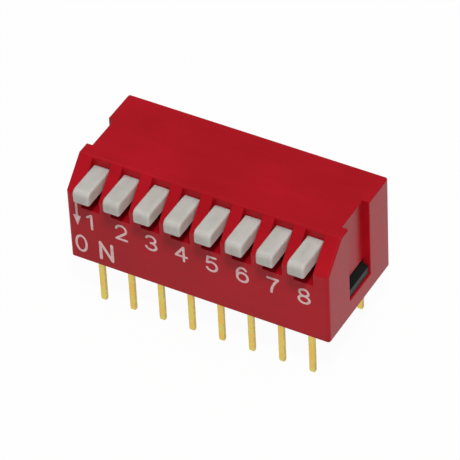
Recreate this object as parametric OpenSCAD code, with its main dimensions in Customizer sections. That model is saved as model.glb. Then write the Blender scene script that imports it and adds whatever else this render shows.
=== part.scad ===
// Eight-position switch with piano levers, for a printed circuit board.
// X runs from the first lever to the last, -Y is the side of the levers and Z = 0 is the board.
// Every lever is drawn up, which is off. Lengths are in millimetres and angles in degrees.

/* [Positions] */
// Distance from one lever to the next
pitch = 2.54; // [2.3:0.01:3]
// Distance between the two rows of pins
row_spacing = 7.62; // [7:0.01:9]

/* [Cover] */
// Height of the cover above the board
cover_h = 8.55; // [8:0.05:10]
// Thickness of the front and rear walls
side_wall = 0.82; // [0.6:0.01:1]
// Thickness of the end walls
end_wall = 1.1; // [0.9:0.01:1.4]
// Thickness of the roof and of the sloped shoulder
roof_t = 0.8; // [0.6:0.05:1]
// Depth of the sloped shoulder, front to back
slope_run = 2.2; // [1.7:0.05:2.4]
// Height of the sloped shoulder
slope_drop = 2.2; // [1.6:0.05:2.4]
// Gap between the cover's cavity and the base
fit_gap = 0.05; // [0.02:0.01:0.1]

/* [Latches] */
// Width of the recess in each end of the cover
recess_w = 3.25; // [2.4:0.05:3.6]
// Depth of the recess
recess_d = 0.52; // [0.3:0.01:0.6]
// Distance of the recess behind the middle of the cover
recess_y = 0.1; // [-0.3:0.05:0.3]
// Height of the ledge that holds the base's tooth
ledge_z = 1.5; // [0.8:0.05:1.8]
// Height of the window above the ledge
window_h = 1.5; // [1.4:0.05:2.2]
// Height of the tooth's upright face, below its ramp
tooth_face_h = 0.75; // [0.4:0.05:1]
// Distance of the tooth's face inside the end of the cover
tooth_inset = 0.14; // [0.1:0.01:0.5]
// Gap between the tooth and the edges of its window
tooth_gap = 0.05; // [0.02:0.01:0.1]

/* [Lever keys] */
// Width of a key
key_w = 1.4; // [1.1:0.05:1.6]
// Height of a key
key_h = 1.2; // [0.9:0.05:1.5]
// Distance of a key's top below the top of the cover
key_drop = 0.68; // [0.4:0.02:1]
// Distance of a key's nose in front of the cover
nose_reach = 1.2; // [0.9:0.02:2]
// Radius of the nose's upper edge
nose_top_r = 0.45; // [0.1:0.05:0.5]
// Radius of the nose's lower edge
nose_low_r = 0.2; // [0.05:0.05:0.3]
// Gap between a key and each side of its slot
slot_gap = 0.09; // [0.05:0.01:0.2]
// Distance of the slots in front of the shoulder's top edge
slot_lip = 0.1; // [0.05:0.05:0.3]
// Gap between a key and the back wall of its slot
key_back_gap = 0.06; // [0.04:0.01:0.12]
// Angle that a lever turns from off to on
throw = 19; // [15:0.5:24]
// Gap between a key that is on and the sill of its slot
stop_gap = 0.05; // [0.03:0.01:0.1]
// Depth of the shelf that carries the sills on behind the front wall
shelf_d = 0.7; // [0.3:0.05:0.8]
// Thickness of that shelf
shelf_t = 0.8; // [0.5:0.05:1]

/* [Lever pivots] */
// Distance of the pivot axis behind the slots
pivot_setback = 2.1; // [1.9:0.05:2.6]
// Distance of the pivot axis below the top of the cover
pivot_drop = 2.25; // [1.9:0.05:2.7]
// Radius of the trunnions
trunnion_r = 0.5; // [0.35:0.05:0.6]
// Length of a trunnion that lies in its cradle
bearing_w = 0.25; // [0.15:0.01:0.4]
// Gap between a trunnion and its cradle
run_gap = 0.05; // [0.03:0.01:0.1]
// Gap between the last trunnion and the end of the base
end_play = 0.07; // [0.03:0.01:0.15]
// Width of the arm and foot inside the cover
foot_w = 0.9; // [0.7:0.05:1.1]
// Depth of the foot, front to back
foot_d = 1; // [0.7:0.05:1.2]
// Gap between the arm and the inside of the shoulder
arm_gap = 0.2; // [0.1:0.05:0.3]

/* [Base] */
// Thickness of the base's floor
floor_t = 2; // [1.6:0.05:2.4]
// Depth of the block that carries the cradles
cradle_d = 4.4; // [3.8:0.1:5]
// Distance of that block behind the slots
cradle_setback = 0.3; // [0.2:0.05:0.5]
// Gap between a foot and each side of its cell
cell_gap = 0.1; // [0.05:0.01:0.2]

/* [Contacts] */
// Thickness of the moving contacts
contact_t = 0.12; // [0.08:0.01:0.18]
// Height of a moving contact below its foot
contact_h = 0.8; // [0.6:0.05:1]
// Height of the tabs that grip the foot
tab_h = 0.8; // [0.4:0.05:1.2]
// Distance between a contact's two beads
bridge_span = 1.6; // [1.3:0.05:1.8]
// Radius of the beads
bead_r = 0.22; // [0.14:0.01:0.28]
// Distance of a contact inside each side of its foot
contact_inset = 0.05; // [0.02:0.01:0.15]
// Gap between the beads and the pads they pass over
wipe_gap = 0.06; // [0.04:0.01:0.12]

/* [Terminals] */
// Width of a pin
pin_w = 0.5; // [0.4:0.01:0.6]
// Thickness of the pins and pads
pin_t = 0.26; // [0.2:0.01:0.36]
// Length of the pins below the board plane
pin_len = 4.4; // [3:0.1:5]
// Length of a pin's tapered tip
tip_len = 0.2; // [0.1:0.05:0.8]
// Width of the tip's end
tip_w = 0.42; // [0.2:0.01:0.46]
// Height of the shoulder where a pin widens to its blade
shoulder_z = 0.6; // [0.3:0.05:1.2]
// Distance between the front and rear pads of a position
pad_gap = 0.5; // [0.3:0.05:0.8]
// Gap between a blade and each side of its cell
blade_gap = 0.1; // [0.06:0.01:0.2]
// Gap between a terminal and each side of its groove
groove_gap = 0.03; // [0.02:0.01:0.06]

/* [Hidden] */
$fn = 48;
positions = 8;

// Length by which a cut runs past the face it opens
over = 1;

// Place of a lever along the row
function lever_x(n) = (n - (positions + 1) / 2) * pitch;

// Each position's cell and slot
cell_w = foot_w + 2 * cell_gap;
slot_w = key_w + 2 * slot_gap;
blade_w = cell_w - 2 * blade_gap;
contact_w = foot_w - 2 * contact_inset;
trunnion_w = cell_w + 2 * bearing_w;

// The base follows the pins and trunnions, the cavity the base, and the cover the cavity
base_end_w = bearing_w + end_play;
base_half_l = lever_x(positions) + cell_w / 2 + base_end_w;
base_half_w = (row_spacing + pin_t) / 2;
cavity_half_l = base_half_l + fit_gap;
cavity_half_w = base_half_w + fit_gap;
cover_half_l = cavity_half_l + end_wall;
cover_half_w = cavity_half_w + side_wall;

// Sloped shoulder: its outer face starts at front_h, and its inner face lies shoulder_rise below it
front_h = cover_h - slope_drop;
ceiling_z = cover_h - roof_t;
slope_top_y = slope_run - cover_half_w;
shoulder_rise = roof_t * norm([slope_run, slope_drop]) / slope_run;
function inner_slope_z(y) = front_h - shoulder_rise + (y + cover_half_w) * slope_drop / slope_run;
ceiling_y = slope_top_y + (shoulder_rise - roof_t) * slope_run / slope_drop;

// Keys, slots and pivots
slot_back_y = slope_top_y - slot_lip;
key_back_y = slot_back_y - key_back_gap;
key_top_z = cover_h - key_drop;
key_z = key_top_z - key_h;
nose_y = -cover_half_w - nose_reach;
pivot_y = slot_back_y + pivot_setback;
pivot_z = cover_h - pivot_drop;
arm_top_z = inner_slope_z(slot_back_y) - arm_gap;
keeper_z = pivot_z + trunnion_r + run_gap;

// A key that is on comes down to the front edge of its sill
front_reach = cover_half_w + pivot_y;
sill_z = pivot_z - front_reach * tan(throw) + (key_z - pivot_z) / cos(throw) - stop_gap;

// Moving contacts, measured from the pivot with the lever on.
// The rear bead swings from one side of the pivot to the other, just clear of the pads.
pad_z = floor_t + pin_t;
wipe_r = pivot_z - pad_z - wipe_gap;
bead_arm = wipe_r - bead_r;
bead_rear_y = bead_arm * sin(throw / 2);
bead_front_y = bead_rear_y - bridge_span;
foot_y = (bead_front_y + bead_rear_y) / 2;
foot_len = wipe_r - contact_h;
function bead_z(y) = -sqrt(bead_arm ^ 2 - y ^ 2);

// A Y-Z outline, drawn out to a width along X
module across(width) {
    rotate([90, 0, 90]) linear_extrude(width, center = true) children();
}

// An X-Z outline, drawn out to a depth along Y
module along(depth) {
    rotate([90, 0, 0]) linear_extrude(depth, center = true) children();
}

// A round bar along X on the pivot axis
module pivot_bar(radius, width) {
    translate([0, pivot_y, pivot_z]) rotate([0, 90, 0]) cylinder(r = radius, h = width, center = true);
}

// What is drawn from the pivot with the lever on, turned back to off
module turned_off() {
    translate([0, pivot_y, pivot_z]) rotate([-throw, 0, 0]) children();
}

// A flat strip between two points of an outline
module strip(from, to, thickness) {
    step = to - from;
    translate(from) rotate(atan2(step.y, step.x))
        translate([0, -thickness / 2]) square([norm(step), thickness]);
}

// Cover: one moulding, open underneath
module cover_outline() {
    polygon([
        [-cover_half_w, 0], [-cover_half_w, front_h], [slope_top_y, cover_h],
        [cover_half_w, cover_h], [cover_half_w, 0]
    ]);
}

module cavity_outline() {
    polygon([
        [-cavity_half_w, -over], [-cavity_half_w, inner_slope_z(-cavity_half_w)], [ceiling_y, ceiling_z],
        [cavity_half_w, ceiling_z], [cavity_half_w, -over]
    ]);
}

// Ribs under the roof that keep the trunnions down in their cradles
module trunnion_keepers() {
    for (n = [0 : positions])
        translate([lever_x(n) + cell_w / 2, pivot_y - trunnion_r, keeper_z])
            cube([pitch - cell_w, 2 * trunnion_r, cover_h - keeper_z]);
}

// Shelf inside the front wall, level with the sills, that hides the cavity under the keys
module sill_shelf() {
    translate([-cavity_half_l, -cavity_half_w, sill_z - shelf_t]) cube([2 * cavity_half_l, shelf_d, shelf_t]);
}

module lever_slot(n) {
    translate([lever_x(n) - slot_w / 2, -cover_half_w - over, sill_z])
        cube([slot_w, slot_back_y + cover_half_w + over, cover_h - sill_z + over]);
}

// Recess down one end of the cover, and the window at its foot
module latch_recess(side) {
    mirror([side < 0 ? 1 : 0, 0, 0]) {
        translate([cover_half_l - recess_d, recess_y - recess_w / 2, ledge_z])
            cube([recess_d + over, recess_w, cover_h - ledge_z + over]);
        translate([cavity_half_l - base_end_w, recess_y - recess_w / 2, ledge_z])
            cube([end_wall + base_end_w + over, recess_w, window_h]);
    }
}

module cover() {
    color([0.66, 0.09, 0.13]) difference() {
        across(2 * cover_half_l) cover_outline();
        difference() {
            across(2 * cavity_half_l) cavity_outline();
            trunnion_keepers();
            sill_shelf();
        }
        for (n = [1 : positions]) lever_slot(n);
        for (side = [-1, 1]) latch_recess(side);
    }
}

// Base: one moulding that snaps into the cover from below
module snap_tooth(side) {
    root_x = base_half_l - base_end_w;
    face_x = cover_half_l - tooth_inset;
    low_z = ledge_z + tooth_gap;
    top_z = ledge_z + window_h - tooth_gap;
    mirror([side < 0 ? 1 : 0, 0, 0]) translate([0, recess_y, 0]) along(recess_w - 2 * tooth_gap)
        polygon([
            [root_x, low_z], [face_x, low_z], [face_x, low_z + tooth_face_h],
            [base_half_l, top_z], [root_x, top_z]
        ]);
}

// Groove in the side of the base for one terminal, wide above its shoulder
module terminal_groove(n, side) {
    for (part = [[pin_w, -over, shoulder_z + over], [blade_w, shoulder_z, floor_t - shoulder_z + over]])
        translate([lever_x(n), side * (base_half_w - pin_t + over / 2), part[1]])
            linear_extrude(part[2]) square([part[0] + 2 * groove_gap, over], center = true);
}

module base() {
    cradle_y = slot_back_y + cradle_setback;
    color([0.1, 0.1, 0.1]) difference() {
        union() {
            translate([-base_half_l, -base_half_w, 0]) cube([2 * base_half_l, 2 * base_half_w, floor_t]);
            translate([-base_half_l, cradle_y, 0]) cube([2 * base_half_l, cradle_d, pivot_z]);
            for (side = [-1, 1]) snap_tooth(side);
        }
        pivot_bar(trunnion_r + run_gap, 2 * (base_half_l + over));
        for (n = [1 : positions]) {
            translate([lever_x(n) - cell_w / 2, cradle_y - over, floor_t])
                cube([cell_w, cradle_d + 2 * over, pivot_z - floor_t + over]);
            for (side = [-1, 1]) terminal_groove(n, side);
        }
    }
}

// Levers: a key outside the cover, trunnions on the pivot axis, and a foot that carries the contact
module key_outline() {
    for (corner = [
        [nose_low_r, key_z, key_h - nose_top_r],
        [nose_top_r, key_z + nose_low_r, key_h - nose_low_r]
    ])
        translate([nose_y + corner[0], corner[1]]) square([key_back_y - nose_y - corner[0], corner[2]]);
    translate([nose_y, key_z + nose_low_r]) square([nose_top_r, key_h - nose_low_r - nose_top_r]);
    translate([nose_y + nose_low_r, key_z + nose_low_r]) circle(nose_low_r);
    translate([nose_y + nose_top_r, key_top_z - nose_top_r]) circle(nose_top_r);
}

module arm_outline() {
    root_y = key_back_y - trunnion_r;
    polygon([
        [root_y, key_z], [root_y, arm_top_z], [pivot_y, arm_top_z],
        [pivot_y + trunnion_r, pivot_z], [pivot_y, pivot_z - trunnion_r]
    ]);
}

module lever(n) {
    color([0.86, 0.86, 0.83]) translate([lever_x(n), 0, 0]) {
        across(key_w) key_outline();
        across(foot_w) arm_outline();
        pivot_bar(trunnion_r, trunnion_w);
        turned_off() across(foot_w) translate([foot_y - foot_d / 2, -foot_len]) square([foot_d, foot_len]);
    }
}

// Moving contacts: a clip on the foot, with two sprung arms that end in beads
module contact_outline() {
    web_y = foot_y - foot_d / 2 - contact_t;
    translate([web_y, -foot_len - contact_t]) square([foot_d + 2 * contact_t, contact_t]);
    for (tab_y = [web_y, web_y + foot_d + contact_t])
        translate([tab_y, -foot_len - contact_t]) square([contact_t, contact_t + tab_h]);
    for (bead_y = [bead_front_y, bead_rear_y]) {
        strip([foot_y, -foot_len - contact_t / 2], [bead_y, bead_z(bead_y)], contact_t);
        translate([bead_y, bead_z(bead_y)]) circle(bead_r);
    }
}

module contact(n) {
    color([0.78, 0.55, 0.3]) translate([lever_x(n), 0, 0]) turned_off() across(contact_w) contact_outline();
}

// Terminals: a pin, a wide blade in the base's groove, and a pad bent over the floor
module blade_outline(pad_end) {
    bend = [base_half_w - pin_t, floor_t];
    translate([bend.x, shoulder_z]) square([pin_t, floor_t - shoulder_z]);
    translate([pad_end, floor_t]) square([bend.x - pad_end, pin_t]);
    intersection() {
        translate(bend) circle(pin_t);
        translate(bend) square(pin_t);
    }
}

module terminal(n, side) {
    pad_end = side * pivot_y + pad_gap / 2;
    color([0.83, 0.66, 0.29]) translate([lever_x(n), 0, 0]) {
        across(blade_w) mirror([side < 0 ? 1 : 0, 0]) blade_outline(pad_end);
        translate([0, side * row_spacing / 2, 0]) along(pin_t)
            polygon([
                [-pin_w / 2, floor_t], [-pin_w / 2, tip_len - pin_len], [-tip_w / 2, -pin_len],
                [tip_w / 2, -pin_len], [pin_w / 2, tip_len - pin_len], [pin_w / 2, floor_t]
            ]);
    }
}

cover();
base();
for (n = [1 : positions]) {
    lever(n);
    contact(n);
    terminal(n, -1);
    terminal(n, 1);
}
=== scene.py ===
from math import cos, pi, radians, sin

import bpy
from mathutils import Matrix, Vector


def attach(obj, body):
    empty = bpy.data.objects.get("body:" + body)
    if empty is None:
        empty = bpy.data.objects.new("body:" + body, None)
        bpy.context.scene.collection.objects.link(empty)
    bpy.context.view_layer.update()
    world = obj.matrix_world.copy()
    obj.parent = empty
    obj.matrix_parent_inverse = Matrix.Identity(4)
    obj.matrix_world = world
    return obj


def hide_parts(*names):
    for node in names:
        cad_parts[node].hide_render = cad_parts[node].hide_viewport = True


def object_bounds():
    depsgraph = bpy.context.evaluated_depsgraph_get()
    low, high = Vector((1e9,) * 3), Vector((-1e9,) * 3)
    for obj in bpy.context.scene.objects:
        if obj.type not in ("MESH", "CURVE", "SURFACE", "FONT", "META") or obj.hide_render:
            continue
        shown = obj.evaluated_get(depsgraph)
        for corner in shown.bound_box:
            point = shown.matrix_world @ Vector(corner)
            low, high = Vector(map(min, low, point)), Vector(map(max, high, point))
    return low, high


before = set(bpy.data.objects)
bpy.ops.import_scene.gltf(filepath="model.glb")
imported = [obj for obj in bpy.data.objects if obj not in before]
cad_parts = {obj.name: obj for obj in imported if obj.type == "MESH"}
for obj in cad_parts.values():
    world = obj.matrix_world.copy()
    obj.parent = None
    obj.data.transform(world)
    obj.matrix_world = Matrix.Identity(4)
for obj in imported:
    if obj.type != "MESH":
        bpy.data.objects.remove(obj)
cad_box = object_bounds()


# Base
# The black moulding that closes the switch from below and carries everything inside it.
# It is moulded from filled polyester and snaps into the cover by a tooth at each end.
# Four shallow rounds underneath are the marks of the pins that pushed it out of its mould.
MM = 0.001
MERGE_GAP = 0.002
FLAT_ANGLE = radians(0.5)
SMOOTH_ANGLE = radians(40)
EDGE_WEIGHT = "bevel_weight_edge"
INWARD_LIMIT = -0.05
ROUNDING_STEPS = 3
BASE_RIM_R = 0.06
TOOTH_EDGE_R = 0.04
TOOTH_X = 10
EJECTOR_R = 0.65
EJECTOR_DEPTH = 0.05
EJECTOR_SIDES = 40
EJECTOR_PLACES = [(x, y) for x in (-7.62, 7.62) for y in (-1.9, 1.9)]
BASE_BLACK = (0.006, 0.0075, 0.006, 1)
BASE_GREY = (0.015, 0.017, 0.014, 1)
BASE_GLOSS = 0.15
BASE_GRAIN_DEPTH = 0.000004


def take_up(piece):
    """Makes one piece the only one selected, and the active one."""
    bpy.ops.object.select_all(action="DESELECT")
    piece.select_set(True)
    bpy.context.view_layer.objects.active = piece


def on_bench(node, name):
    """A copy of a solid in millimetres, with its loose triangles merged into plain faces."""
    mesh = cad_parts[node].data.copy()
    mesh.materials.clear()
    piece = bpy.data.objects.new(name, mesh)
    bpy.context.collection.objects.link(piece)
    take_up(piece)
    piece.scale = (1 / MM, 1 / MM, 1 / MM)
    bpy.ops.object.transform_apply(location=False, rotation=False, scale=True)
    bpy.ops.mesh.customdata_custom_splitnormals_clear()
    bpy.ops.object.mode_set(mode="EDIT")
    bpy.ops.mesh.select_all(action="SELECT")
    bpy.ops.mesh.remove_doubles(threshold=MERGE_GAP)
    bpy.ops.mesh.dissolve_limited(angle_limit=FLAT_ANGLE)
    bpy.ops.mesh.select_all(action="DESELECT")
    bpy.ops.object.mode_set(mode="OBJECT")
    return piece


def apply_modifier(piece, kind, **settings):
    """Adds one modifier to a piece and applies it."""
    take_up(piece)
    modifier = piece.modifiers.new(kind, kind)
    for name, value in settings.items():
        setattr(modifier, name, value)
    bpy.ops.object.modifier_apply(modifier=modifier.name)


def round_edges(piece, radius_of, segments=ROUNDING_STEPS):
    """Rounds each outward edge by what radius_of gives for its two ends and its two faces' normals."""
    mesh = piece.data
    sides = {}
    for face in mesh.polygons:
        corners = list(face.vertices)
        for a, b in zip(corners, corners[1:] + corners[:1]):
            along = mesh.vertices[b].co - mesh.vertices[a].co
            into = face.normal.cross(along).normalized()
            sides.setdefault((min(a, b), max(a, b)), []).append((face.normal, into))
    radii = []
    for edge in mesh.edges:
        ends = [mesh.vertices[n].co for n in edge.vertices]
        (first, _), (second, into) = sides[tuple(sorted(edge.vertices))]
        outward = into.dot(first) < INWARD_LIMIT
        radii.append(radius_of(ends, (first, second)) if outward else 0)
    widest = max(radii)
    weights = mesh.attributes.new(EDGE_WEIGHT, "FLOAT", "EDGE")
    weights.data.foreach_set("value", [r / widest for r in radii])
    apply_modifier(
        piece, "BEVEL", width=widest, segments=segments, limit_method="WEIGHT", use_clamp_overlap=False
    )
    piece.data.attributes.remove(piece.data.attributes[EDGE_WEIGHT])


def combine(piece, others, operation):
    """Cuts other shapes out of a piece, or adds them to it, and removes the others."""
    for other in others:
        apply_modifier(piece, "BOOLEAN", operation=operation, object=other, solver="EXACT")
        bpy.data.objects.remove(other)


def off_bench(piece):
    """Takes a finished piece back to metres, smooth over its rounded edges and flat on its faces."""
    take_up(piece)
    bpy.ops.object.shade_smooth_by_angle(angle=SMOOTH_ANGLE)
    apply_modifier(piece, "WEIGHTED_NORMAL", keep_sharp=True)
    piece.scale = (MM, MM, MM)
    bpy.ops.object.transform_apply(location=False, rotation=False, scale=True)


class Tone:
    """One socket of a material's nodes. Sums and products of tones add Math nodes."""

    def __init__(self, tree, socket=None):
        self.tree = tree
        self.socket = socket

    @staticmethod
    def find(sockets, name):
        if isinstance(name, int):
            return sockets[name]
        return next(s for s in sockets if name in (s.identifier, s.name))

    def node(self, kind, settings, sockets, out=0):
        """Adds any node: its settings are set first, then the values or links of its sockets."""
        made = self.tree.nodes.new(kind)
        for name, value in settings.items():
            setattr(made, name, value)
        for name, value in sockets.items():
            socket = self.find(made.inputs, name)
            if isinstance(value, Tone):
                self.tree.links.new(value.socket, socket)
            else:
                socket.default_value = value
        return Tone(self.tree, self.find(made.outputs, out)) if made.outputs else None

    def maths(self, operation, first, second):
        return self.node("ShaderNodeMath", {"operation": operation}, {0: first, 1: second})

    def __add__(self, other):
        return self.maths("ADD", self, other)

    def __sub__(self, other):
        return self.maths("SUBTRACT", self, other)

    def __rsub__(self, other):
        return self.maths("SUBTRACT", other, self)

    def __mul__(self, other):
        return self.maths("MULTIPLY", self, other)

    __radd__ = __add__
    __rmul__ = __mul__

    def __abs__(self):
        return self.maths("ABSOLUTE", self, 0)

    def fraction(self):
        return self.maths("FRACT", self, 0)

    def noise(self, scale, detail=2):
        """Cloudy variation around 0.5, read at this place."""
        sockets = {"Vector": self, "Scale": scale, "Detail": detail}
        return self.node("ShaderNodeTexNoise", {}, sockets, "Fac")

    def drawn_out(self, stretch, turn=(0, 0, 0)):
        """This place, turned and then scaled along each axis, so that a pattern becomes streaks."""
        turned = self.node("ShaderNodeMapping", {}, {"Vector": self, "Rotation": turn})
        return self.node("ShaderNodeMapping", {}, {"Vector": turned, "Scale": stretch})

    def step(self, low, high):
        """A soft step from 0 to 1 as this value goes from low to high."""
        ends = {"Value": self, "From Min": low, "From Max": high}
        return self.node("ShaderNodeMapRange", {"interpolation_type": "SMOOTHSTEP"}, ends, "Result")

    def tint(self, first, second):
        """A colour between two others, with this value as the share of the second."""
        ends = {"Factor_Float": self, "A_Color": first, "B_Color": second}
        return self.node("ShaderNodeMix", {"data_type": "RGBA"}, ends, "Result_Color")

    def relief(self, depth, strength):
        """A normal for a surface that rises and falls by this value times depth."""
        return self.node("ShaderNodeBump", {}, {"Height": self, "Distance": depth, "Strength": strength})


def new_material(name):
    """An empty material, and the place on the piece to start its pattern from."""
    material = bpy.data.materials.new(name)
    material.use_nodes = True
    material.node_tree.nodes.clear()
    return material, Tone(material.node_tree).node("ShaderNodeTexCoord", {}, {}, "Object")


def finish_surface(place, sockets):
    """Ends a material in one shader with these values and links on its sockets."""
    shader = place.node("ShaderNodeBsdfPrincipled", {}, sockets)
    place.node("ShaderNodeOutputMaterial", {}, {"Surface": shader})


black_plastic, place = new_material("black_plastic")
cloud = place.noise(420)
grain = place.noise(11000, 3)
finish_surface(place, {
    "Base Color": (cloud * 0.6 + grain * 0.4).step(0.35, 0.7).tint(BASE_BLACK, BASE_GREY),
    "Roughness": 0.3 + cloud * 0.12 + grain * 0.08,
    "Specular IOR Level": BASE_GLOSS,
    "Normal": grain.relief(BASE_GRAIN_DEPTH, 0.6),
})


def base_radius(ends, normals):
    if all(e.z < MERGE_GAP for e in ends):
        return BASE_RIM_R
    return TOOTH_EDGE_R if max(abs(e.x) for e in ends) > TOOTH_X else 0


base = on_bench("base", "base_moulding")
round_edges(base, base_radius)
marks = []
for x, y in EJECTOR_PLACES:
    bpy.ops.mesh.primitive_cylinder_add(
        vertices=EJECTOR_SIDES, radius=EJECTOR_R, depth=2 * EJECTOR_DEPTH, location=(x, y, 0)
    )
    marks.append(bpy.context.object)
combine(base, marks, "DIFFERENCE")
off_bench(base)
base.data.materials.append(black_plastic)
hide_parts("base")
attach(base, "housing")


# Terminals
# Sixteen strips of copper alloy, stamped and bent, with a thin flash of gold all over.
# Each is pushed into a groove in the side of the base, and its pin hangs below the board plane.
POSITIONS = range(1, 9)
PITCH = 2.54
PIN_EDGE_R = 0.035
PIN_EDGE_STEPS = 2
TIP_CORNER_R = 0.06
TIP_Z = -4.1
GOLD_YELLOW = (0.70, 0.56, 0.11, 1)
GOLD_RED = (0.76, 0.49, 0.10, 1)
GOLD_PALE = (0.72, 0.60, 0.20, 1)
GOLD_DARK_REFLECTION = (0.52, 0.40, 0.14, 1)
DARK_REFLECTION_FROM = 0.00019
DARK_REFLECTION_TO = 0.00025
DRAWN_DEPTH = 0.000003

gold_plating, place = new_material("gold_plating")
drift = place.noise(900)
drawn = place.drawn_out((9000, 9000, 500)).noise(1, 3)
spots = place.noise(5200, 3)
along_row = place.node("ShaderNodeSeparateXYZ", {}, {"Vector": place}, "X")
from_middle = abs((along_row * (1 / (PITCH * MM))).fraction() - 0.5) * (PITCH * MM)
# Painted dark reflection: the outer strip along both sides of each pin is painted a darker gold, its
# border frayed by noise.
dark_reflection = (from_middle + (spots - 0.5) * DARK_REFLECTION_TO).step(DARK_REFLECTION_FROM, DARK_REFLECTION_TO)
plated = spots.step(0.5, 0.75).tint(drift.step(0.35, 0.65).tint(GOLD_YELLOW, GOLD_RED), GOLD_PALE)
finish_surface(place, {
    "Base Color": dark_reflection.tint(plated, GOLD_DARK_REFLECTION),
    "Metallic": 1.0,
    "Roughness": 0.24 + drawn * 0.16 + spots * 0.08 + dark_reflection * 0.1,
    "Normal": drawn.relief(DRAWN_DEPTH, 0.5),
})


def pin_radius(ends, normals):
    if all(e.z < TIP_Z for e in ends) and abs(ends[0].x - ends[1].x) < MERGE_GAP:
        return TIP_CORNER_R if abs(ends[0].z - ends[1].z) < MERGE_GAP else PIN_EDGE_R
    return PIN_EDGE_R if min(e.z for e in ends) < 0 else 0


def row_of(first, name):
    """The first piece of a row and a copy of it at each further position, each with its own mesh."""
    first.name = f"{name}_1"
    row = [first]
    for n in POSITIONS[1:]:
        take_up(first)
        bpy.ops.object.duplicate(linked=False)
        twin = bpy.context.object
        twin.name = f"{name}_{n}"
        twin.location.x = (n - 1) * PITCH * MM
        bpy.ops.object.transform_apply(location=True, rotation=False, scale=False)
        row.append(twin)
    return row


for side in ("front", "rear"):
    pin = on_bench(f"{side}_terminal_1", f"{side}_pin")
    round_edges(pin, pin_radius, PIN_EDGE_STEPS)
    off_bench(pin)
    pin.data.materials.append(gold_plating)
    for n, pin in zip(POSITIONS, row_of(pin, f"{side}_pin")):
        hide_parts(f"{side}_terminal_{n}")
        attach(pin, "housing")


# Moving contacts
# Eight bent strips of phosphor bronze, one clipped on the foot of each lever.
# They lie inside the switch, so the solids serve as they are, with the finish of rolled strip.
BRONZE_PALE = (0.62, 0.36, 0.17, 1)
BRONZE_DARK = (0.46, 0.24, 0.10, 1)
ROLLED_DEPTH = 0.000003

rolled_bronze, place = new_material("rolled_bronze")
rolling = place.drawn_out((400, 9000, 9000)).noise(1, 3)
tarnish = place.noise(1500)
finish_surface(place, {
    "Base Color": tarnish.step(0.4, 0.7).tint(BRONZE_PALE, BRONZE_DARK),
    "Metallic": 1.0,
    "Roughness": 0.26 + rolling * 0.2,
    "Normal": rolling.relief(ROLLED_DEPTH, 0.5),
})
for n in POSITIONS:
    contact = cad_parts[f"contact_{n}"]
    contact.material_slots[0].material = rolled_bronze


# Levers
# Eight white mouldings of nylon that rock on their trunnions in the base, all of them up here.
# The key outside has a round nose and soft edges; the arm, trunnions and foot stay inside.
KEY_W = 1.4
NOSE_W = 1.38
KEY_TOP_Z = 7.87
KEY_LOW_Z = 6.67
NOSE_Y = -6.01
KEY_BACK_Y = -2.77
NOSE_TOP_R = 0.45
NOSE_LOW_R = 0.2
KEY_EDGE_R = 0.17
KEY_EDGE_STEPS = 5
NOSE_STEPS = 8
SIDE_TURN = 0.9
ARM_BITE = 0.4
FIRST_X = -PITCH * (len(POSITIONS) - 1) / 2
NYLON_WHITE = (0.655, 0.64, 0.60, 1)
NYLON_SHADE = (0.585, 0.57, 0.52, 1)
NYLON_GLOSS = 0.4
MILKINESS = 0.9
MILK_REACH = (1.0, 0.85, 0.75)
MILK_DEPTH = 0.0009
NYLON_GRAIN_DEPTH = 0.000005

white_nylon, place = new_material("white_nylon")
milk = place.noise(700)
flow = place.drawn_out((2600, 700, 2600)).noise(1)
grain = place.noise(9000, 3)
finish_surface(place, {
    "Base Color": (milk * 0.6 + flow * 0.4).step(0.38, 0.68).tint(NYLON_WHITE, NYLON_SHADE),
    "Roughness": 0.4 + milk * 0.14 + grain * 0.08,
    "Specular IOR Level": NYLON_GLOSS,
    "Subsurface Weight": MILKINESS,
    "Subsurface Radius": MILK_REACH,
    "Subsurface Scale": MILK_DEPTH,
    "Normal": (grain * 0.5 + flow * 0.5).relief(NYLON_GRAIN_DEPTH, 0.5),
})


def pick_edges(piece, wanted):
    """Opens a piece in edit mode with only the wanted edges selected."""
    take_up(piece)
    bpy.context.tool_settings.mesh_select_mode = (False, True, False)
    mesh = piece.data
    for part in (mesh.vertices, mesh.edges, mesh.polygons):
        part.foreach_set("select", [False] * len(part))
    for edge in mesh.edges:
        edge.select = wanted([mesh.vertices[n].co for n in edge.vertices])
    bpy.ops.object.mode_set(mode="EDIT")


def key_radius(ends, normals):
    along_side = abs(normals[0].x - normals[1].x) > SIDE_TURN
    outside = min(e.y for e in ends) < KEY_BACK_Y - MERGE_GAP
    return KEY_EDGE_R if along_side and outside else 0


def round_across(block, y, z, radius):
    """Rounds the edge that runs across a block at this place of its side view."""
    corner = Vector((0, y, z))
    pick_edges(block, lambda ends: all((e - corner).yz.length < MERGE_GAP for e in ends))
    bpy.ops.mesh.bevel(offset=radius, segments=NOSE_STEPS, affect="EDGES")
    bpy.ops.object.mode_set(mode="OBJECT")


bpy.ops.object.select_all(action="DESELECT")
bpy.ops.mesh.primitive_cube_add(
    size=1, location=(FIRST_X, (NOSE_Y + KEY_BACK_Y) / 2, (KEY_TOP_Z + KEY_LOW_Z) / 2)
)
key = bpy.context.object
key.scale = (KEY_W, KEY_BACK_Y - NOSE_Y, KEY_TOP_Z - KEY_LOW_Z)
bpy.ops.object.transform_apply(location=True, rotation=False, scale=True)
pick_edges(key, lambda ends: all(abs(e.y - NOSE_Y) < MERGE_GAP for e in ends))
bpy.ops.transform.resize(value=(NOSE_W / KEY_W, 1, 1), center_override=(FIRST_X, NOSE_Y, 0))
bpy.ops.object.mode_set(mode="OBJECT")
round_across(key, NOSE_Y, KEY_TOP_Z, NOSE_TOP_R)
round_across(key, NOSE_Y, KEY_LOW_Z, NOSE_LOW_R)
round_edges(key, key_radius, KEY_EDGE_STEPS)

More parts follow.
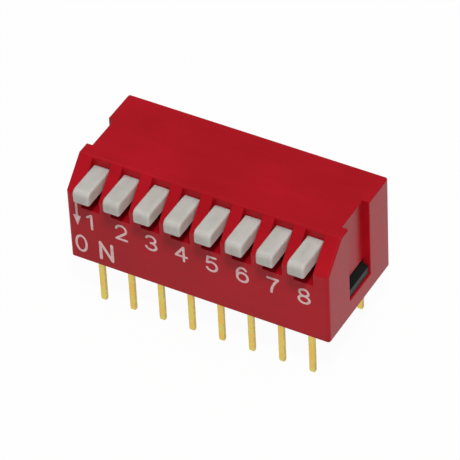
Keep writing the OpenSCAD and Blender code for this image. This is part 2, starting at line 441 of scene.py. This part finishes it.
lever = on_bench("lever_1", "lever")
bpy.ops.object.mode_set(mode="EDIT")
bpy.ops.mesh.select_all(action="SELECT")
bpy.ops.mesh.bisect(
    plane_co=(0, KEY_BACK_Y + MERGE_GAP, 0), plane_no=(0, 1, 0), use_fill=True, clear_inner=True
)
bpy.ops.mesh.extrude_region_move(TRANSFORM_OT_translate={"value": (0, -ARM_BITE, 0)})
bpy.ops.object.mode_set(mode="OBJECT")
combine(lever, [key], "UNION")
off_bench(lever)
lever.data.materials.append(white_nylon)
for n, lever in zip(POSITIONS, row_of(lever, "lever_moulding")):
    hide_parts(f"lever_{n}")
    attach(lever, f"rocker_{n}")


# Cover
# The red moulding that holds the levers down: open below, with a sloped shoulder and eight slots.
# It is moulded from glass-filled polyester with a fine spark-eroded grain, and its edges are soft.
COVER_L = 21.82
COVER_W = 9.62
COVER_H = 8.55
FRONT_H = 6.35
SLOPE_RUN = 2.2
RECESS_X = 10.3
CORNER_R = 0.26
TOP_EDGE_R = 0.18
RIDGE_R = 0.08
FRONT_EDGE_R = 0.1
RECESS_R = 0.08
LOW_EDGE_R = 0.14
RIM_R = 0.035
SAME_WAY = 0.999
SAME_PLANE = 0.01
HALF_TURNED = 0.5
UPRIGHT = 0.1
FACING_FRONT = -0.9
RED_DEEP = (0.47, 0.0045, 0.0125, 1)
RED_BRIGHT = (0.56, 0.006, 0.017, 1)
RED_SCUFFED = (0.63, 0.04, 0.05, 1)
COVER_GLOSS = 0.17
COVER_GRAIN_DEPTH = 0.000004
SCRATCH_TURN = radians(62)

red_plastic, place = new_material("red_plastic")
cloud = place.noise(160)
grain = place.noise(12000, 3)
flow = place.drawn_out((260, 1500, 1500)).noise(1, 3)
scratch = place.drawn_out((350, 9000, 3000), (0, 0, SCRATCH_TURN)).noise(1, 1).step(0.71, 0.78)
patch = place.noise(330).step(0.55, 0.7)
scuff = scratch * patch
moulded = (cloud * 0.55 + flow * 0.2 + grain * 0.25).step(0.36, 0.64).tint(RED_DEEP, RED_BRIGHT)
finish_surface(place, {
    "Base Color": (scuff * 0.45).tint(moulded, RED_SCUFFED),
    "Roughness": 0.22 + cloud * 0.08 + grain * 0.08 + scuff * 0.12,
    "Specular IOR Level": COVER_GLOSS,
    "Normal": (grain * 0.8 + flow * 0.2).relief(COVER_GRAIN_DEPTH, 0.5),
})

slope_n = Vector((0, FRONT_H - COVER_H, SLOPE_RUN)).normalized()
OUTER_FACES = [
    (Vector((1, 0, 0)), COVER_L / 2),
    (Vector((-1, 0, 0)), COVER_L / 2),
    (Vector((0, 1, 0)), COVER_W / 2),
    (Vector((0, -1, 0)), COVER_W / 2),
    (Vector((0, 0, 1)), COVER_H),
    (Vector((0, 0, -1)), 0),
    (slope_n, slope_n.dot((0, -COVER_W / 2, FRONT_H))),
]


def cover_radius(ends, normals):
    """The rounding of an edge, by which outer faces of the cover meet there."""
    faces = [m for m, d in OUTER_FACES if all(abs(e.dot(m) - d) < SAME_PLANE for e in ends)]
    outer = [any(n.dot(m) > SAME_WAY for m in faces) for n in normals]
    if not any(outer):
        return 0
    if not all(outer):
        inner = normals[outer.index(False)]
        in_recess = min(abs(e.x) for e in ends) > RECESS_X
        return RECESS_R if inner.z < HALF_TURNED and in_recess else RIM_R
    if min(n.z for n in normals) < -HALF_TURNED:
        return LOW_EDGE_R
    if max(n.z for n in normals) < UPRIGHT:
        return CORNER_R
    if min(n.y for n in normals) < FACING_FRONT:
        return FRONT_EDGE_R
    return RIDGE_R if normals[0].dot(normals[1]) > HALF_TURNED else TOP_EDGE_R


cover = on_bench("cover", "cover_moulding")
round_edges(cover, cover_radius)
off_bench(cover)
cover.data.materials.append(red_plastic)
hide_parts("cover")
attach(cover, "housing")


# Print
# White ink on the front of the cover: a number under each lever, and ON with a down arrow at the first.
# It is pad-printed in one go with even strokes and round ends, so it stands a hair proud of the face.
STROKE = 0.2
BOLD_STROKE = 0.26
INK_RISE = 0.0125
INK_WHITE = (0.97, 0.70, 0.69, 1)
INK_THIN = (0.82, 0.43, 0.43, 1)
INK_GLOSS = 0.3
INK_GRAIN_DEPTH = 0.000003
PEN_STEPS = 2
ARC_STEP = 12
FEWEST_STEPS = 4
CAP_ANGLES = [radians(a) for a in (84, 60, 30)]
NUMBER_X = 0.01
NUMBER_Z = 4.045
NUMBER_SLANT = -0.0256
LETTER_O_AT = (-9.905, 1.60)
LETTER_N_AT = (-7.76, 1.566)

white_ink, place = new_material("white_ink")
blotch = place.noise(2600, 3)
pores = place.noise(16000, 2)
finish_surface(place, {
    "Base Color": (blotch * 0.5 + pores * 0.5).step(0.45, 0.7).tint(INK_WHITE, INK_THIN),
    "Roughness": 0.5 + pores * 0.2,
    "Specular IOR Level": INK_GLOSS,
    "Normal": pores.relief(INK_GRAIN_DEPTH, 0.5),
})


def bow(x, z, rx, rz, start, end):
    """Points along part of an oval, from one angle to another."""
    steps = max(FEWEST_STEPS, round(abs(end - start) / ARC_STEP))
    angles = [radians(start + (end - start) * i / steps) for i in range(steps + 1)]
    return [(x + rx * cos(a), z + rz * sin(a)) for a in angles]


def inked(name, strokes, x, z, stroke_w=STROKE):
    """A printed character: its strokes are drawn with a round pen and pressed flat on the cover."""
    curve = bpy.data.curves.new(name, "CURVE")
    curve.dimensions = "3D"
    curve.bevel_depth = stroke_w / 2
    curve.bevel_resolution = PEN_STEPS
    curve.use_fill_caps = True
    for stroke in strokes:
        points = [Vector((u, 0, v)) for u, v in stroke]
        first = (points[0] - points[1]).normalized()
        last = (points[-1] - points[-2]).normalized()
        lead_in = [(points[0] + first * sin(a) * stroke_w / 2, cos(a)) for a in CAP_ANGLES]
        lead_out = [(points[-1] + last * sin(a) * stroke_w / 2, cos(a)) for a in reversed(CAP_ANGLES)]
        path = lead_in + [(p, 1) for p in points] + lead_out
        spline = curve.splines.new("POLY")
        spline.points.add(len(path) - 1)
        for point, (where, radius) in zip(spline.points, path):
            point.co = (*where, 1)
            point.radius = radius
    mark = bpy.data.objects.new(name, curve)
    bpy.context.collection.objects.link(mark)
    take_up(mark)
    bpy.ops.object.convert(target="MESH")
    mark = bpy.context.object
    mark.scale = (1, 2 * INK_RISE / stroke_w, 1)
    bpy.ops.object.transform_apply(location=False, rotation=False, scale=True)
    mark.location = (x, -COVER_W / 2, z)
    bpy.ops.object.transform_apply(location=True, rotation=False, scale=False)
    return mark


def print_on_cover(mark):
    """Finishes a printed character and fixes it to the cover."""
    off_bench(mark)
    mark.data.materials.append(white_ink)
    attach(mark, "housing")


NUMBERS = [
    [[(-0.34, 0.40), (0.02, 0.66)], [(0.02, 0.66), (0.02, -0.66)]],
    [
        bow(0, 0.26, 0.42, 0.40, 168, -50) + [(-0.43, -0.66)],
        [(-0.43, -0.66), (0.45, -0.66)],
    ],
    [bow(-0.02, 0.33, 0.39, 0.33, 158, -88), bow(-0.02, -0.32, 0.44, 0.34, 88, -162)],
    [[(0.2, 0.66), (-0.46, -0.24)], [(-0.46, -0.24), (0.46, -0.24)], [(0.2, 0.66), (0.2, -0.66)]],
    [
        [(0.36, 0.66), (-0.3, 0.66)],
        [(-0.3, 0.66), (-0.38, 0.08)],
        [(-0.38, 0.08)] + bow(-0.01, -0.23, 0.44, 0.43, 128, -152),
    ],
    [bow(0.02, 0.0, 0.45, 0.66, 48, 200), bow(0.01, -0.24, 0.44, 0.42, 180, -180)],
    [
        [(-0.43, 0.66), (0.43, 0.66)],
        [(0.43, 0.66), (0.16, 0.3), (-0.03, -0.08), (-0.12, -0.4), (-0.15, -0.66)],
    ],
    [bow(0, 0.34, 0.37, 0.32, 0, 360), bow(0, -0.32, 0.44, 0.34, 0, 360)],
]
for n, strokes in zip(POSITIONS, NUMBERS):
    print_on_cover(inked(
        f"number_{n}",
        strokes,
        FIRST_X + (n - 1) * PITCH + NUMBER_X,
        NUMBER_Z + NUMBER_SLANT * (n - 1),
    ))

print_on_cover(inked("letter_o", [bow(0, 0, 0.435, 0.74, 0, 360)], *LETTER_O_AT))
print_on_cover(inked("letter_n", [
    [(-0.49, -0.77), (-0.49, 0.77)],
    [(-0.49, 0.77), (0.49, -0.77)],
    [(0.49, -0.77), (0.49, 0.77)],
], *LETTER_N_AT, BOLD_STROKE))

ARROW_X = -10.1
ARROW_TOP_Z = 5.7
HEAD_TOP_Z = 4.33
HEAD_TIP_Z = 3.31
HEAD_W = 0.7
HEAD_BLUNTING = 0.9
SHAFT_BITE = 0.1
shaft = [(0, ARROW_TOP_Z - HEAD_TOP_Z), (0, -SHAFT_BITE)]
arrow = inked("down_arrow", [shaft], ARROW_X, HEAD_TOP_Z)
bpy.ops.object.select_all(action="DESELECT")
bpy.ops.mesh.primitive_cone_add(
    vertices=3, radius1=1, radius2=HEAD_BLUNTING, depth=1,
    location=(ARROW_X, 0, 0), rotation=(pi / 2, pi, 0),
)
head = bpy.context.object
bpy.ops.object.transform_apply(location=False, rotation=True, scale=False)
head_low = min(v.co.z for v in head.data.vertices)
head_high = max(v.co.z for v in head.data.vertices)
head_wide = 2 * max(v.co.x for v in head.data.vertices)
head.scale = (HEAD_W / head_wide, 2 * INK_RISE, (HEAD_TOP_Z - HEAD_TIP_Z) / (head_high - head_low))
head.location = (ARROW_X, -COVER_W / 2, HEAD_TIP_Z - head_low * head.scale.z)
bpy.ops.object.transform_apply(location=True, rotation=False, scale=True)
combine(arrow, [head], "UNION")
print_on_cover(arrow)


# Floor, light and camera
# White card under the pins, one small soft lamp high in front, and grey walls with a paler ceiling.
# The camera stands where the photograph was taken from, with a long lens.
scene = bpy.context.scene
scene.view_settings.view_transform = "Standard"
CARD_WHITE = (1, 1, 1, 1)
CARD_CREAM = (0.97, 0.97, 0.97, 1)
CARD_BOUNCE = (0.65, 0.65, 0.65, 1)
CARD_GLOW = 0.96
CARD_SIZE = 6
WALL_GREY = (0.19, 0.19, 0.19, 1)
CEILING_GREY = (0.6, 0.6, 0.6, 1)
CEILING_FROM = 0.65
CEILING_FULL = 0.85

bpy.ops.object.select_all(action="DESELECT")
bpy.ops.mesh.primitive_plane_add(size=CARD_SIZE, location=(0, 0, cad_box[0].z))
floor = bpy.context.object
floor.name = "floor"
white_card, place = new_material("white_card")
direct, mirrored, through = [
    place.node("ShaderNodeLightPath", {}, {}, f"Is {kind} Ray")
    for kind in ("Camera", "Glossy", "Transmission")
]
seen = place.maths("MAXIMUM", place.maths("MAXIMUM", direct, mirrored), through)
under = place.node("ShaderNodeNewGeometry", {}, {}, "Backfacing")
fibre = place.noise(40).tint(CARD_WHITE, CARD_CREAM)
lit = place.node("ShaderNodeBsdfDiffuse", {}, {"Color": seen.tint(CARD_BOUNCE, fibre)})
glow = place.node("ShaderNodeEmission", {}, {"Color": CARD_WHITE, "Strength": 1.0})
clear = place.node("ShaderNodeBsdfTransparent", {}, {})
card = place.node("ShaderNodeMixShader", {}, {"Fac": seen * CARD_GLOW, 1: lit, 2: glow})
shown = place.node("ShaderNodeMixShader", {}, {"Fac": under, 1: card, 2: clear})
place.node("ShaderNodeOutputMaterial", {}, {"Surface": shown})
floor.data.materials.append(white_card)

world = bpy.data.worlds.new("studio")
scene.world = world
world.use_nodes = True
world.node_tree.nodes.clear()
studio = Tone(world.node_tree)
direction = studio.node("ShaderNodeTexCoord", {}, {}, "Generated")
height = direction.node("ShaderNodeSeparateXYZ", {}, {"Vector": direction}, "Z")
walls = height.step(CEILING_FROM, CEILING_FULL).tint(WALL_GREY, CEILING_GREY)
room = studio.node("ShaderNodeBackground", {}, {"Color": walls, "Strength": 1.0})
studio.node("ShaderNodeOutputWorld", {}, {"Surface": room})

LAMP_DISTANCE = 0.35
LAMP_AT = LAMP_DISTANCE * Vector((0.27, -0.405, 0.874))
LAMP_SIZE = 0.05
LAMP_POWER = 0.56
bpy.ops.object.light_add(type="AREA", location=LAMP_AT)
lamp = bpy.context.object
lamp.data.shape = "DISK"
lamp.data.size = LAMP_SIZE
lamp.data.energy = LAMP_POWER
lamp.rotation_euler = LAMP_AT.to_track_quat("Z", "Y").to_euler()

AZIMUTH = radians(30.79)
ELEVATION = radians(41.455)
ROLL = radians(-3.043)
CAMERA_DISTANCE = 0.278318
CAMERA_AIM = Vector((0.0003613, -0.0003906, 0.0034107))
SENSOR_W = 36
LENS = 295.04
stand = Matrix.Rotation(AZIMUTH, 3, "Z") @ Matrix.Rotation(pi / 2 - ELEVATION, 3, "X")
bpy.ops.object.camera_add(
    location=CAMERA_AIM + stand @ Vector((0, 0, CAMERA_DISTANCE)),
    rotation=(stand @ Matrix.Rotation(ROLL, 3, "Z")).to_euler(),
)
camera = bpy.context.object
camera.data.sensor_width = SENSOR_W
camera.data.lens = LENS
scene.camera = camera
